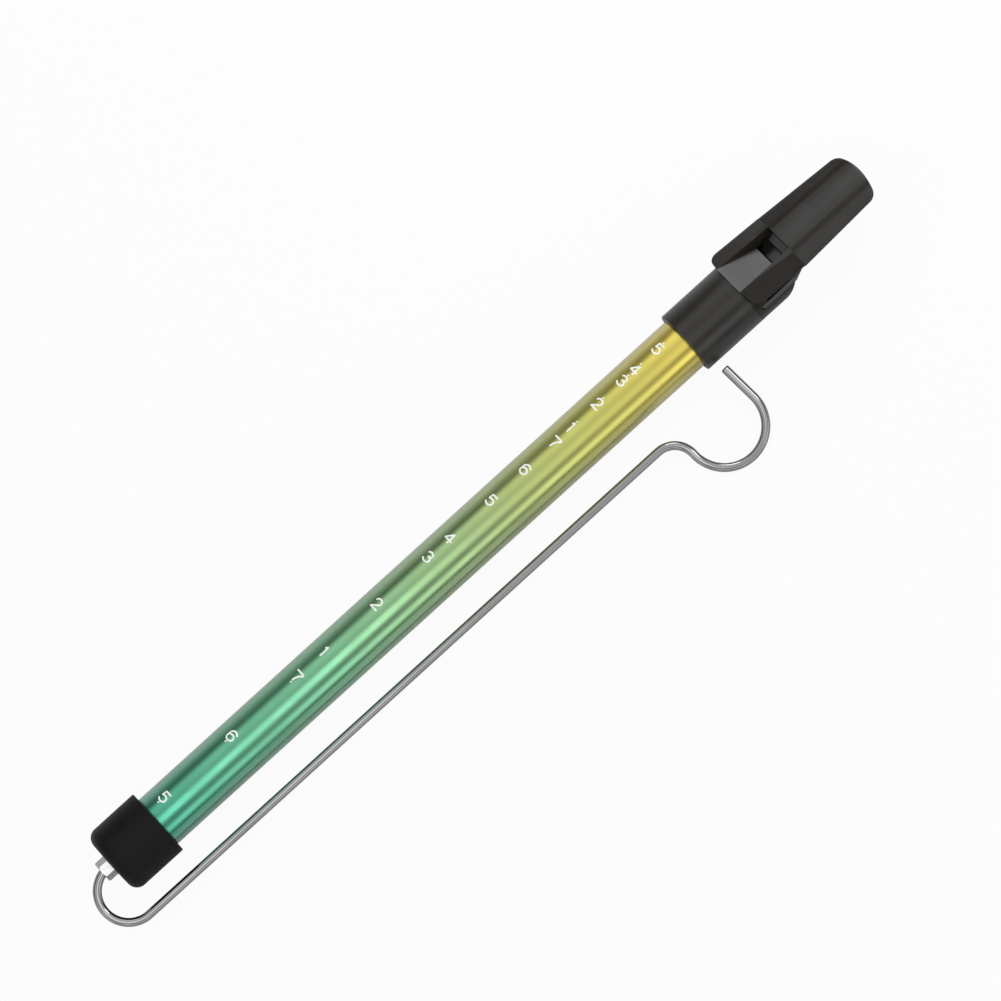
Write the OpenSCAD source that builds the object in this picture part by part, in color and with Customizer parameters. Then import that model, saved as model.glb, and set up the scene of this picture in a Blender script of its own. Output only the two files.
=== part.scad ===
// Slide whistle: an aluminium tube with a moulded head, and a piston on a bent steel rod.
// X runs along the tube from the end cap to the head. The origin is on the tube's axis,
// midway along the tube that shows. Z is up, as the whistle lies on a table: on the end
// cap, the head's barrel and the outside of the finger hook.

/* [Tube] */
// Outer diameter of the tube
tube_d = 16; // [14:0.5:18]
// Wall thickness of the tube
tube_wall = 1; // [0.8:0.1:1.2]
// Length of tube that shows between the end cap and the head
tube_shown = 194.6; // [150:1:240]

/* [End cap] */
// Wall of the cap round the tube
cap_wall = 2.2; // [1.8:0.1:2.6]
// Length of the cap along the tube
cap_len = 17.5; // [14:0.5:22]
// Thickness of the cap's closed end
cap_floor = 3.5; // [2.5:0.1:4.5]
// Radius that rounds the cap's closed end
cap_round_r = 3.2; // [1.5:0.1:4]

/* [Guide bush] */
// Width across the flats of the bush's hexagon
bush_flats = 5.5; // [5:0.1:7]
// How far the bush stands out of the cap
bush_proud = 3.1; // [2.5:0.1:4]
// Diameter of the bush's flange inside the cap
bush_flange_d = 9; // [8:0.5:11]
// Thickness of the bush's flange
bush_flange_t = 1.2; // [0.8:0.1:1.6]
// Thickness of the felt bumper on the flange
bumper_t = 2; // [1:0.1:3]

/* [Slide rod] */
// Diameter of the rod
rod_d = 2.5; // [2.2:0.1:3]
// Clear gap between the end cap and the rod's return leg
leg_gap = 5.65; // [4:0.05:9]
// Radius of the square bend that leads from the leg into the finger hook
neck_bend_r = 6.9; // [5:0.1:8]
// Radius of the finger hook
hook_r = 11.4; // [9:0.1:13]
// Distance from the hook's centre forward to the rim of the head
hook_back = 7.2; // [0:0.1:20]
// Length of the straight pointer at the end of the hook
pointer_len = 11; // [6:0.1:11.5]
// Angle that the pointer leans back
pointer_lean = 3.7; // [0:0.1:8]
// Angle round the tube between the window and the square to the rod's plane
rod_angle = 29.5; // [20:0.5:45]

/* [Piston] */
// Length of the piston core
core_len = 10; // [9:0.5:14]
// Distance from the rim of the head back to the piston's front face
piston_back = 0.7; // [0:0.1:6]
// Thickness of the seal rings' round section
seal_d = 1.5; // [1.2:0.1:1.8]
// Width across the flats of the piston nut
nut_flats = 5; // [4.5:0.1:5.5]
// Thickness of the piston nut
nut_t = 2; // [1.5:0.1:2.4]
// Thickness of the washers
washer_t = 0.4; // [0.3:0.1:0.6]

/* [Head] */
// Wall of the head's round barrel outside the tube
barrel_wall = 1.62; // [1.4:0.05:2]
// Depth of the socket that takes the tube
socket_depth = 18.7; // [14:0.1:20]
// Distance from the barrel's rim to the start of the wings
wing_start = 19.6; // [18:0.1:24]
// How far the wings stand out sideways past the barrel
wing_out = 1.6; // [1:0.1:2.4]
// Length of the ramp that leads down to the lip
ramp_len = 12.2; // [9:0.1:13]
// Length of the window from the lip to the roof's edge
window_len = 6.1; // [4.5:0.1:7]
// Length of the beak from the roof's edge to its tip
beak_len = 29.2; // [24:0.1:36]
// Half of the beak's width at its tip
tip_half = 8.9; // [8:0.1:10]
// Half of the windway's width
windway_half = 4.3; // [3.8:0.05:4.5]
// Height of the windway
windway_h = 1; // [0.7:0.05:1.3]
// Thickness of the roof over the windway
roof_t = 1.1; // [0.8:0.05:1.5]
// Height of the fipple block
block_h = 2.9; // [2:0.1:3.4]
// Thickness of the beak under the block
beak_floor = 1.2; // [0.8:0.1:1.6]

/* [Hidden] */

// Smoothness of round faces
round_steps = 96;
wire_steps = 48;

// Overrun of every cut past the face that it opens
over = 0.6;
// Clearance of fixed pieces in their seats, of running fits, and of the core in the tube
seat_gap = 0.03;
run_gap = 0.05;
core_gap = 0.2;

// Tube
tube_r = tube_d / 2;
bore_r = tube_r - tube_wall;
cap_rim_x = -tube_shown / 2;
head_rim_x = tube_shown / 2;

// End cap
cap_r = tube_r + cap_wall;
cap_face_x = cap_rim_x - cap_len;
cap_floor_x = cap_face_x + cap_floor;
rim_round_r = 0.4;

// Guide bush and bumper
bush_end_x = cap_face_x - bush_proud;
bush_bore_r = rod_d / 2 + run_gap;
bush_chamfer = 0.35;
flange_x = cap_floor_x + bush_flange_t;
bumper_x = flange_x + bumper_t;
bumper_gap = 0.3;
bumper_hole_gap = 0.65;

// Rod: its plane hinges down about the tube's axis until the hook lies on the table
rod_r = rod_d / 2;
leg_off = cap_r + leg_gap + rod_r;
turn_r = leg_off / 2;
turn_into_bush = 2;
turn_x = bush_end_x + turn_into_bush;
hook_x = head_rim_x - hook_back;
hook_off = leg_off + neck_bend_r;
leg_end_x = hook_x - neck_bend_r - hook_r;
rod_fall = asin((cap_r - rod_r) / (hook_off + hook_r));
window_roll = rod_angle - rod_fall;
rod_chamfer = 0.3;
polish_t = 0.02;
pointer_root = 0.3;
// The bush's mouth is flared where the bend runs into it
mouth_r = bush_bore_r + turn_r - sqrt(turn_r * turn_r - turn_into_bush * turn_into_bush);

// Piston
piston_x = head_rim_x - piston_back;
core_r = bore_r - core_gap;
core_back_x = piston_x - core_len;
core_edge = 0.4;
nut_recess = 0.4;
nut_room = 0.4;
nut_back_x = piston_x - nut_recess - nut_t;
pocket_x = nut_back_x - washer_t;
pocket_r = nut_flats / sqrt(3) + nut_room;
seal_out_r = bore_r - run_gap;
seal_mid_r = seal_out_r - seal_d / 2;
groove_r = seal_mid_r - seal_d / 2 - run_gap;
groove_w = seal_d + 2 * run_gap;
seal_inset = 2.2;
front_seal_x = piston_x - seal_inset;
rear_seal_x = core_back_x + seal_inset;
washer_r = nut_flats / sqrt(3);
clip_t = 0.5;
clip_r = 3;
clip_lip_r = 2.1;
clip_depth = 0.35;
clip_lug_w = 1;
clip_groove_r = rod_r - clip_depth;
clip_x = core_back_x - washer_t - clip_t;
rod_front_x = piston_x - nut_recess / 2;

// Head: heights are above the tube's axis, distances run forward from the barrel's rim
barrel_r = tube_r + seat_gap + barrel_wall;
lip_x = wing_start + ramp_len;
roof_x = lip_x + window_len;
tip_x = roof_x + beak_len;
lip_drop = 1.25;
lip_edge_t = 0.25;
lip_side_gap = 0.8;
lip_over_floor = 0.45;
lip_under = bore_r - lip_drop;
lip_top = lip_under + lip_edge_t;
lip_half = windway_half - lip_side_gap;
windway_floor = lip_under - lip_over_floor;
windway_top = windway_floor + windway_h;
roof_top = windway_top + roof_t;
block_under = windway_floor - block_h;
beak_under = block_under - beak_floor;
block_set_back = 2.1;
block_bevel = 1.1;

// Wings and beak, half sections from the crest out to the edge
crest_front = barrel_r;
crest_back_drop = 1;
crest_half_front = 5.16;
crest_half_back = 4.65;
crease_out = 0.73;
crease_half = windway_half + crease_out;
crease_half_tip = windway_half;
crease_drop = 0.2;
tip_fall = 0.4;
wing_taper = 0.85;
edge_half_front = barrel_r + wing_out;
edge_half_back = edge_half_front - wing_taper;
edge_fall_front = 3.6;
edge_fall_back = 1.4;
edge_t = 0.9;
under_half_share = 0.72;
wing_corner_r = 2.7;
tip_corner_r = 3.3;
tip_arc_r = 20;
step_len = 0.4;
corner_step = 18;
tip_step = 15;
front_lean_share = 0.29;
lean_len = 8;
wing_shares = [0.4, 0.7, 1];
tip_arc_shares = [1, 0.6, 0.2];

// Flare under the wings, and the chin that ends the barrel below the beak
flare_low = 1.1;
flare_low_half = barrel_r - run_gap;
flare_in = 0.15;
flare_set_back = 0.15;
flare_top_drop = 0.5;
chin_set_back = 0.9;
chin_top_x = roof_x - chin_set_back;
chin_slope = 54;
chin_top = windway_floor + flare_top_drop / 2;
chin_wall = 1.7;
wall_slope_share = 0.44;

function edge_half_at(x) =
    edge_half_front + (edge_half_back - edge_half_front) * (x - wing_start) / (roof_x - wing_start);
function mix(a, b, share) = a + (b - a) * share;
function clamp01(share) = min(max(share, 0), 1);

// Each station is [x, crest height, crest half width, edge height, edge half width, lean]
corner_stations = [
    for (turn = [0 : corner_step : 90])
        let (
            x = wing_start + wing_corner_r * (1 - cos(turn)),
            share = (x - wing_start) / (roof_x - wing_start),
            half = edge_half_at(x) - wing_corner_r * (1 - sin(turn)),
            crest = crest_front - crest_back_drop * share,
            crest_half = mix(crest_half_front, crest_half_back, share),
            edge = mix(crest_front - edge_fall_front, roof_top - crease_drop - edge_fall_back, share),
            reach_share = (half - crest_half) / (edge_half_at(x) - crest_half)
        )
        [x, crest, crest_half, mix(crest, edge, reach_share), half,
         front_lean_share * clamp01(1 - (x - wing_start) / lean_len)]
];
wing_stations = [
    for (share = wing_shares)
        let (x = mix(wing_start, roof_x, share))
        [x, crest_front - crest_back_drop * share,
         mix(crest_half_front, crest_half_back, share),
         mix(crest_front - edge_fall_front, roof_top - crease_drop - edge_fall_back, share),
         edge_half_at(x),
         front_lean_share * clamp01(1 - (x - wing_start) / lean_len)]
];
tip_turn_share = (tip_half - tip_corner_r) / (tip_arc_r - tip_corner_r);
tip_turn = asin(tip_turn_share);
tip_mid_x = tip_x - tip_arc_r + (tip_arc_r - tip_corner_r) * cos(tip_turn);
tip_mid_half = tip_half - tip_corner_r;
beak_crease = roof_top - crease_drop;
function beak_station(x, half) =
    let (share = clamp01((x - roof_x) / (tip_mid_x - roof_x)),
         full = mix(edge_half_back, tip_half, share))
    [x, beak_crease - tip_fall * share, mix(crease_half, crease_half_tip, share) * half / full,
     beak_crease - edge_fall_back - tip_fall * share, half, 0];
beak_stations = concat(
    [beak_station(roof_x + step_len, edge_half_back)],
    [beak_station(mix(roof_x, tip_mid_x, 1 / 2), mix(edge_half_back, tip_half, 1 / 2))],
    [for (turn = [90 : -tip_step : tip_turn + 1])
        beak_station(tip_mid_x + tip_corner_r * cos(turn), tip_mid_half + tip_corner_r * sin(turn))],
    [for (share = tip_arc_shares)
        beak_station(tip_x - tip_arc_r * (1 - cos(share * tip_turn)), tip_arc_r * sin(share * tip_turn))]
);
stations = concat(corner_stations, wing_stations, beak_stations);

// One ring of points round a station, the right side down and the left side up
function at_height(s, half, height) = [s[0] + s[5] * (s[1] - height), half, height];
function both_sides(right) =
    concat(right, [for (i = [len(right) - 1 : -1 : 0]) [right[i][0], -right[i][1], right[i][2]]]);
function ring_points(s) = both_sides([
    at_height(s, s[2], s[1]),
    at_height(s, s[4], s[3]),
    at_height(s, s[4], s[3] - edge_t),
    at_height(s, under_half_share * s[4], beak_under)
]);
function flare_points(s) = both_sides([
    at_height(s, s[4] - flare_in, s[3] - flare_top_drop),
    at_height(s, min(flare_low_half, s[4] - flare_in), flare_low),
    at_height(s, flare_low_half / 2, 0)
]);

// Triangles that close one ring: point i lies opposite point n - 1 - i
function end_faces(n) = [
    for (i = [0 : floor(n / 2) - 1])
        each concat(
            i + 1 < n - 1 - i ? [[i, i + 1, n - 1 - i]] : [],
            i + 1 < n - 2 - i ? [[i + 1, n - 2 - i, n - 1 - i]] : []
        )
];

// A solid skinned over rings of points that run forward along X
module loft(rings) {
    n = len(rings[0]);
    last = len(rings) - 1;
    front = end_faces(n);
    polyhedron(
        points = [for (ring = rings) each ring],
        faces = concat(
            [for (f = front) [f[2], f[1], f[0]]],
            [for (k = [0 : last - 1], i = [0 : n - 1])
                [(k + 1) * n + (i + 1) % n, (k + 1) * n + i, k * n + i]],
            [for (k = [0 : last - 1], i = [0 : n - 1])
                [k * n + (i + 1) % n, (k + 1) * n + (i + 1) % n, k * n + i]],
            [for (f = front) [last * n + f[0], last * n + f[1], last * n + f[2]]]
        )
    );
}

// The window's own frame, turned about the tube's axis, with its Z towards the window
module window_side() {
    rotate([-window_roll, 0, 0]) children();
}

// The rod's plane, turned about the tube's axis, with minus Y towards the leg
module rod_plane() {
    rotate([rod_fall, 0, 0]) children();
}

module bar_along_x(x0, x1, r) {
    translate([x0, 0, 0]) rotate([0, 90, 0]) cylinder(h = x1 - x0, r = r, $fn = round_steps);
}

module ring_along_x(x0, x1, r, hole_r) {
    difference() {
        bar_along_x(x0, x1, r);
        bar_along_x(x0 - over, x1 + over, hole_r);
    }
}

module hex_along_x(x0, x1, flats) {
    translate([x0, 0, 0])
        rotate([0, 90, 0])
            cylinder(h = x1 - x0, r = flats / sqrt(3), $fn = 6);
}

// A bar turned to an outline of [radius, distance from x0] points
module turned_bar(x0, outline) {
    translate([x0, 0, 0]) rotate([0, 90, 0]) rotate_extrude($fn = round_steps) polygon(outline);
}

// A cup's outer shape: a round bar with one corner rounded, turned about X
module round_nosed_bar(x0, x1, r, round_r, rim_r) {
    translate([x0, 0, 0])
        rotate([0, 90, 0])
            rotate_extrude($fn = round_steps)
                union() {
                    translate([0, round_r]) square([r, x1 - x0 - round_r - rim_r]);
                    square([r - round_r, round_r + rim_r]);
                    translate([r - round_r, round_r]) intersection() {
                        circle(r = round_r, $fn = round_steps);
                        translate([0, -round_r]) square([round_r, round_r]);
                    }
                    translate([0, x1 - x0 - rim_r - rim_r]) square([r - rim_r, rim_r + rim_r]);
                    translate([r - rim_r, x1 - x0 - rim_r]) intersection() {
                        circle(r = rim_r, $fn = round_steps);
                        square([rim_r, rim_r]);
                    }
                }
}

// Tube
module tube() {
    color([0.62, 0.78, 0.58])
        ring_along_x(cap_floor_x, head_rim_x + socket_depth, tube_r, bore_r);
}

// End cap
module end_cap() {
    color([0.1, 0.1, 0.1])
        difference() {
            round_nosed_bar(cap_face_x, cap_rim_x, cap_r, cap_round_r, rim_round_r);
            bar_along_x(cap_floor_x, cap_rim_x + over, tube_r + seat_gap);
            window_side()
                hex_along_x(cap_face_x - over, cap_floor_x + over, bush_flats + 2 * seat_gap);
        }
}

// Guide bush
module guide_bush() {
    corner_r = bush_flats / sqrt(3);
    color([0.78, 0.79, 0.8])
        difference() {
            union() {
                window_side()
                    intersection() {
                        hex_along_x(bush_end_x, flange_x - bush_flange_t / 2, bush_flats);
                        turned_bar(bush_end_x, [
                            [0, 0], [corner_r - bush_chamfer, 0],
                            [corner_r + over, bush_chamfer + over],
                            [corner_r + over, flange_x - bush_end_x], [0, flange_x - bush_end_x]
                        ]);
                    }
                bar_along_x(cap_floor_x, flange_x, bush_flange_d / 2);
            }
            bar_along_x(bush_end_x - over, flange_x + over, bush_bore_r);
            translate([bush_end_x, 0, 0])
                rotate([0, 90, 0])
                    cylinder(h = turn_into_bush, r1 = mouth_r, r2 = bush_bore_r, $fn = round_steps);
        }
}

// Felt bumper
module felt_bumper() {
    color([0.55, 0.12, 0.12])
        ring_along_x(flange_x, bumper_x, bore_r - bumper_gap, rod_r + bumper_hole_gap);
}

// Slide rod: each stretch starts where the one before it ends
module wire_arc(bend_r, from, sweep) {
    rotate([0, 0, from])
        rotate_extrude(angle = sweep, $fn = round_steps)
            translate([bend_r, 0]) circle(r = rod_r, $fn = wire_steps);
}

module chamfered_wire(length, r) {
    turned_bar(0, [[0, 0], [r, 0], [r, length - rod_chamfer], [r - rod_chamfer, length], [0, length]]);
}

module slide_rod() {
    color([0.8, 0.81, 0.83])
        rod_plane()
            translate([turn_x, 0, 0]) {
                difference() {
                    chamfered_wire(rod_front_x - turn_x, rod_r);
                    ring_along_x(clip_x - turn_x, clip_x + clip_t - turn_x, rod_r + over,
                                 clip_groove_r);
                }
                translate([0, -turn_r, 0]) {
                    wire_arc(turn_r, 90, 180);
                    translate([0, -turn_r, 0]) return_leg();
                }
            }
}

module return_leg() {
    leg_len = leg_end_x - turn_x;
    bar_along_x(0, leg_len, rod_r);
    translate([leg_len, -neck_bend_r, 0]) {
        wire_arc(neck_bend_r, 0, 90);
        translate([neck_bend_r, 0, 0]) translate([hook_r, 0, 0]) finger_hook();
    }
}

// The hook is a half ring of wire that goes on into its pointer, which is polished a
// touch thinner and starts inside the ring's end
module finger_hook() {
    wire_arc(hook_r, 180, 180 + pointer_lean);
    rotate([0, 0, pointer_lean])
        translate([hook_r, -pointer_root, 0])
            rotate([0, 0, 90]) chamfered_wire(pointer_root + pointer_len, rod_r - polish_t);
}

// Piston core
module piston_core() {
    color([0.85, 0.85, 0.82])
        difference() {
            turned_bar(core_back_x, [
                [0, 0], [core_r - core_edge, 0], [core_r, core_edge],
                [core_r, core_len - core_edge], [core_r - core_edge, core_len], [0, core_len]
            ]);
            for (x = [front_seal_x, rear_seal_x])
                ring_along_x(x - groove_w / 2, x + groove_w / 2, core_r + over, groove_r);
            bar_along_x(core_back_x - over, piston_x, rod_r + run_gap);
            bar_along_x(pocket_x, piston_x + over, pocket_r);
        }
}

// Seal rings
module seal_ring(x) {
    color([0.12, 0.12, 0.12])
        translate([x, 0, 0])
            rotate([0, 90, 0])
                rotate_extrude($fn = round_steps)
                    translate([seal_mid_r, 0]) circle(r = seal_d / 2, $fn = wire_steps);
}

module front_seal() {
    seal_ring(front_seal_x);
}

module rear_seal() {
    seal_ring(rear_seal_x);
}

// Washers, nut and retaining ring
module front_washer() {
    color([0.7, 0.7, 0.68])
        ring_along_x(pocket_x, nut_back_x, washer_r, rod_r + run_gap);
}

module piston_nut() {
    color([0.75, 0.68, 0.4])
        difference() {
            hex_along_x(nut_back_x, nut_back_x + nut_t, nut_flats);
            bar_along_x(nut_back_x - over, piston_x, rod_r + run_gap);
        }
}

module rear_washer() {
    color([0.7, 0.7, 0.68])
        ring_along_x(core_back_x - washer_t, core_back_x, washer_r, rod_r + run_gap);
}

// Retaining ring: an E clip, open at the top, whose three lugs sit in the rod's groove
module retaining_ring() {
    color([0.3, 0.3, 0.32])
        difference() {
            union() {
                ring_along_x(clip_x, clip_x + clip_t, clip_r, clip_lip_r);
                for (turn = [0, 120, 240])
                    rotate([turn, 0, 0])
                        translate([clip_x, -clip_lug_w / 2, -clip_lip_r - run_gap])
                            cube([clip_t, clip_lug_w, clip_lip_r + run_gap - clip_groove_r]);
            }
            bar_along_x(clip_x - over, clip_x + clip_t + over, clip_groove_r + run_gap / 2);
            translate([clip_x - over, -clip_groove_r, 0])
                cube([clip_t + 2 * over, 2 * clip_groove_r, clip_r + over]);
        }
}

// Head: barrel with flared wings and a flat beak, then the bore, ramp, window and windway
module head_body() {
    translate([head_rim_x, 0, 0]) {
        difference() {
            union() {
                mirror([1, 0, 0])
                    round_nosed_bar(-roof_x, 0, barrel_r, rim_round_r, rim_round_r);
                translate([flare_set_back, 0, 0])
                    loft([for (s = concat(corner_stations, wing_stations)) flare_points(s)]);
            }
            beyond_chin(0);
        }
        loft([for (s = stations) ring_points(s)]);
    }
}

// All that lies in front of the chin's slanted plane, or of one set back by a wall
module beyond_chin(wall) {
    room = edge_half_front + over;
    translate([chin_top_x - wall / sin(chin_slope), 0, chin_top])
        rotate([0, 90 - chin_slope, 0])
            translate([0, -room, -2 * tip_x]) cube([tip_x, 2 * room, 4 * tip_x]);
}

// The ramp down to the lip, and the window between the lip and the roof's edge
module ramp_cut() {
    ramp_slope = (crest_front - lip_top) / ramp_len;
    cut_top = crest_front + wing_out;
    function side(x, half, low) = both_sides([
        [x, half + wall_slope_share * (cut_top - low), cut_top],
        [x, half, low]
    ]);
    function hole(x, half, knee) = both_sides([
        [x, half + wall_slope_share * (cut_top - knee), cut_top],
        [x, half, knee],
        [x, half, block_under]
    ]);
    loft([
        side(wing_start - over, crest_half_front, crest_front + over * ramp_slope),
        side(wing_start, crest_half_front, crest_front),
        side(lip_x, lip_half, lip_top)
    ]);
    loft([
        hole(lip_x, lip_half, lip_top),
        hole(roof_x, windway_half, crest_front - 2 * crest_back_drop)
    ]);
}

module mouthpiece_head() {
    color([0.13, 0.13, 0.13])
        window_side()
            difference() {
                head_body();
                translate([head_rim_x, 0, 0]) {
                    bar_along_x(-over, socket_depth, tube_r + seat_gap);
                    difference() {
                        bar_along_x(0, roof_x, bore_r);
                        translate([socket_depth, -barrel_r, lip_under])
                            cube([roof_x, 2 * barrel_r, barrel_r]);
                        beyond_chin(chin_wall);
                    }
                    translate([lip_x + window_len / 3, -windway_half, block_under])
                        cube([tip_x, 2 * windway_half, windway_top - block_under]);
                    ramp_cut();
                }
            }
}

// Fipple block
module fipple_block() {
    block_front = roof_x - block_set_back;
    block_back = tip_x - tip_fall - over;
    color([0.2, 0.2, 0.2])
        window_side()
            translate([head_rim_x, windway_half - seat_gap, 0])
                rotate([90, 0, 0])
                    linear_extrude(height = 2 * (windway_half - seat_gap))
                        polygon([
                            [block_front, block_under],
                            [block_back, block_under],
                            [block_back, windway_floor],
                            [block_front + 2 * block_bevel, windway_floor],
                            [block_front, windway_floor - block_bevel]
                        ]);
}

tube();
mouthpiece_head();
fipple_block();
end_cap();
guide_bush();
felt_bumper();
slide_rod();
piston_core();
front_seal();
rear_seal();
front_washer();
piston_nut();
rear_washer();
retaining_ring();
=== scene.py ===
# %% [markdown]
# A slide whistle has a coloured aluminium tube, a black moulded head, a black end cap, and a steel
# rod that bends back along the tube to a finger hook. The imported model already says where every
# piece is. This lesson gives the pieces their finished surfaces and lights them. We begin by
# loading that model, because everything else is measured from it.

# %% Load the frame
import math

import bmesh
import bpy
import numpy as np
from mathutils import Matrix, Vector


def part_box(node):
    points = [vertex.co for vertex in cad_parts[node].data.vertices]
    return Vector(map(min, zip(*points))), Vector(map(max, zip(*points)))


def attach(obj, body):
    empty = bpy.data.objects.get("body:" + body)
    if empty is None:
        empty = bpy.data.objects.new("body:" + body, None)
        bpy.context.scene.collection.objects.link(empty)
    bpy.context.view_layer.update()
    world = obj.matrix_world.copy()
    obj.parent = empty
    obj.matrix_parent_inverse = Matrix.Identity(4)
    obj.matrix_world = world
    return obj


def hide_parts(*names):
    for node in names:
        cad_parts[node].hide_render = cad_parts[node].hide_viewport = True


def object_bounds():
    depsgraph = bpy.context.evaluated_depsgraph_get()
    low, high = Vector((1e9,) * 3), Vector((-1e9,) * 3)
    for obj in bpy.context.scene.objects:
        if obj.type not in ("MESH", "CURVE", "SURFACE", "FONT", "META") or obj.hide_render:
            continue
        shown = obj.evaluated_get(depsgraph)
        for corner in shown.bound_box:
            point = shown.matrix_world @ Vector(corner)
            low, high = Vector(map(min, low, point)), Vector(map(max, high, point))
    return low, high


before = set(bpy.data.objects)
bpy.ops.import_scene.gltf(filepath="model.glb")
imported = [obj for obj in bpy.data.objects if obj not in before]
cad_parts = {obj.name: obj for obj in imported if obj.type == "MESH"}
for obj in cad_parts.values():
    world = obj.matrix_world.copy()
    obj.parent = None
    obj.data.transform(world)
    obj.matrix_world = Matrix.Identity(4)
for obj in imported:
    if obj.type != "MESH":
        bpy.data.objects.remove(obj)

MM = 0.001
cad_box = [list(corner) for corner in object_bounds()]

# %% [markdown]
# The whistle lies on its cap, on the barrel of its head and on its finger hook, so nothing on it
# is level. Two directions matter besides the tube's own axis X. The window looks up and a little
# back, and the bent rod lies in a plane that falls a little to the front. Both are turns about X,
# so each is a small set of three unit vectors. A point is then written with plain distances, and
# one dot product puts it in place.

# %% Directions and places taken from the frame
ROD_FALL = math.radians(14.6447)
WINDOW_ROLL = math.radians(14.8553)

ALONG = np.array([1.0, 0.0, 0.0])
WINDOW_UP = np.array([0.0, math.sin(WINDOW_ROLL), math.cos(WINDOW_ROLL)])
WINDOW_SIDE = np.array([0.0, math.cos(WINDOW_ROLL), -math.sin(WINDOW_ROLL)])
ROD_OUT = np.array([0.0, -math.cos(ROD_FALL), -math.sin(ROD_FALL)])
ROD_UP = np.array([0.0, -math.sin(ROD_FALL), math.cos(ROD_FALL)])

CAP_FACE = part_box("end_cap")[0].x
CAP_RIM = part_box("end_cap")[1].x
HEAD_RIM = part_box("mouthpiece_head")[0].x
TABLE = cad_box[0][2]
print("cap rim to head rim, mm:", round((HEAD_RIM - CAP_RIM) / MM, 2))

# %% [markdown]
# Most pieces here are skins over a grid of points: rings that follow one another, each with the
# same number of points. A grid could be typed in as loops over vertices, but numpy works out the
# whole array at once, and one helper then turns any grid into a closed mesh. Normals are
# recalculated at the end, so a ring order that runs the other way can't turn a piece inside out.

# %% From a grid of points to a mesh
SMOOTH_ANGLE = math.radians(32)
AROUND = 192


def make_piece(name, points, faces, uv=None):
    """An object at the origin from points (n, 3) and faces, with normals pointing outwards and
    edges kept sharp only where two faces meet at more than SMOOTH_ANGLE."""
    mesh = bpy.data.meshes.new(name)
    mesh.from_pydata(points.tolist(), [], faces)
    if uv is not None:
        corner_points = np.empty(len(mesh.loops), np.int32)
        mesh.loops.foreach_get("vertex_index", corner_points)
        layer = mesh.uv_layers.new(name="UVMap")
        layer.data.foreach_set("uv", uv[corner_points].astype(np.float32).ravel())
    return finish_piece(name, mesh)


def finish_piece(name, mesh):
    """Closed, outward and smooth: the last steps that every new mesh needs."""
    work = bmesh.new()
    work.from_mesh(mesh)
    bmesh.ops.recalc_face_normals(work, faces=work.faces)
    work.to_mesh(mesh)
    work.free()
    mesh.polygons.foreach_set("use_smooth", np.ones(len(mesh.polygons), bool))
    mesh.set_sharp_from_angle(angle=SMOOTH_ANGLE)
    piece = bpy.data.objects.new(name, mesh)
    bpy.context.scene.collection.objects.link(piece)
    return piece


def ring_faces(rings, around, wrap=False):
    """Faces of a grid of rings. Point i of ring k is number k * around + i, and each face takes
    points i and i + 1 of rings k and k + 1. wrap joins the last ring to the first, and without
    it a face closes each end."""
    k, i = np.meshgrid(np.arange(rings if wrap else rings - 1), np.arange(around), indexing="ij")
    after, beside = (k + 1) % rings, (i + 1) % around
    quads = np.stack([k * around + i, after * around + i,
                      after * around + beside, k * around + beside], axis=-1)
    faces = quads.reshape(-1, 4).tolist()
    if not wrap:
        faces.append(list(range(around)))
        faces.append(list(range((rings - 1) * around, rings * around)))
    return faces


# %% [markdown]
# Three shapes come back again and again: a skin over any rings, a piece that is turned like on a
# lathe, and part of a circle in an outline. Each is made a helper once.


# %% Skins, turned pieces and arcs
def skin_over(name, rings, wrap=False, uv=None):
    """A piece over rings of points, given as (rings, around, 3)."""
    return make_piece(name, rings.reshape(-1, 3), ring_faces(*rings.shape[:2], wrap), uv)


def round_rings(x, radius, around=160):
    """Rings round the axis X: (x, r sin a, r cos a), with a once round the circle. x holds one
    value for each ring, and radius holds one value or a whole row for each."""
    a = np.arange(around) * 2 * np.pi / around
    x = np.asarray(x, float)[:, None]
    radius = np.asarray(radius, float).reshape(len(x), -1)
    return np.stack(np.broadcast_arrays(x + 0 * a, radius * np.sin(a), radius * np.cos(a)), -1)


def turned(name, x, radius, around=AROUND):
    """A piece turned about X, from an outline that comes back to its start."""
    return skin_over(name, round_rings(x, radius, around), wrap=True)


def bend(cx, cy, rx, ry, start, stop, steps=18):
    """Part of an ellipse: (cx + rx cos a, cy + ry sin a), for a from start to stop in degrees."""
    a = np.radians(np.linspace(start, stop, steps))
    return np.stack([cx + rx * np.cos(a), cy + ry * np.sin(a)], axis=-1)


def quarter(centre_x, centre_r, radius, start, stop, steps=10):
    """Part of a circle in a turned outline, as (x, r)."""
    return bend(centre_x, centre_r, radius, radius, start, stop, steps)


# %% [markdown]
# The tube is 16 mm aluminium with a 1 mm wall. Its ends are hidden in the cap and in the head,
# where a saw cut would leave a small broken edge. One outline of x and radius, turned about X,
# makes the outside, the bore and both ends at once.

# %% The tube
TUBE_R = 8.0 * MM
BORE_R = 7.0 * MM
EDGE_BREAK = 0.15 * MM

tube_start, tube_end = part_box("tube")[0].x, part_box("tube")[1].x
tube_outline = np.concatenate([
    quarter(tube_start + EDGE_BREAK, TUBE_R - EDGE_BREAK, EDGE_BREAK, 180, 90, 5),
    quarter(tube_end - EDGE_BREAK, TUBE_R - EDGE_BREAK, EDGE_BREAK, 90, 0, 5),
    quarter(tube_end - EDGE_BREAK, BORE_R + EDGE_BREAK, EDGE_BREAK, 0, -90, 5),
    quarter(tube_start + EDGE_BREAK, BORE_R + EDGE_BREAK, EDGE_BREAK, -90, -180, 5),
])
tube = turned("anodised_tube", *tube_outline.T, around=256)
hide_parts("tube")
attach(tube, "whistle_body")
print("tube faces", len(tube.data.polygons))

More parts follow.
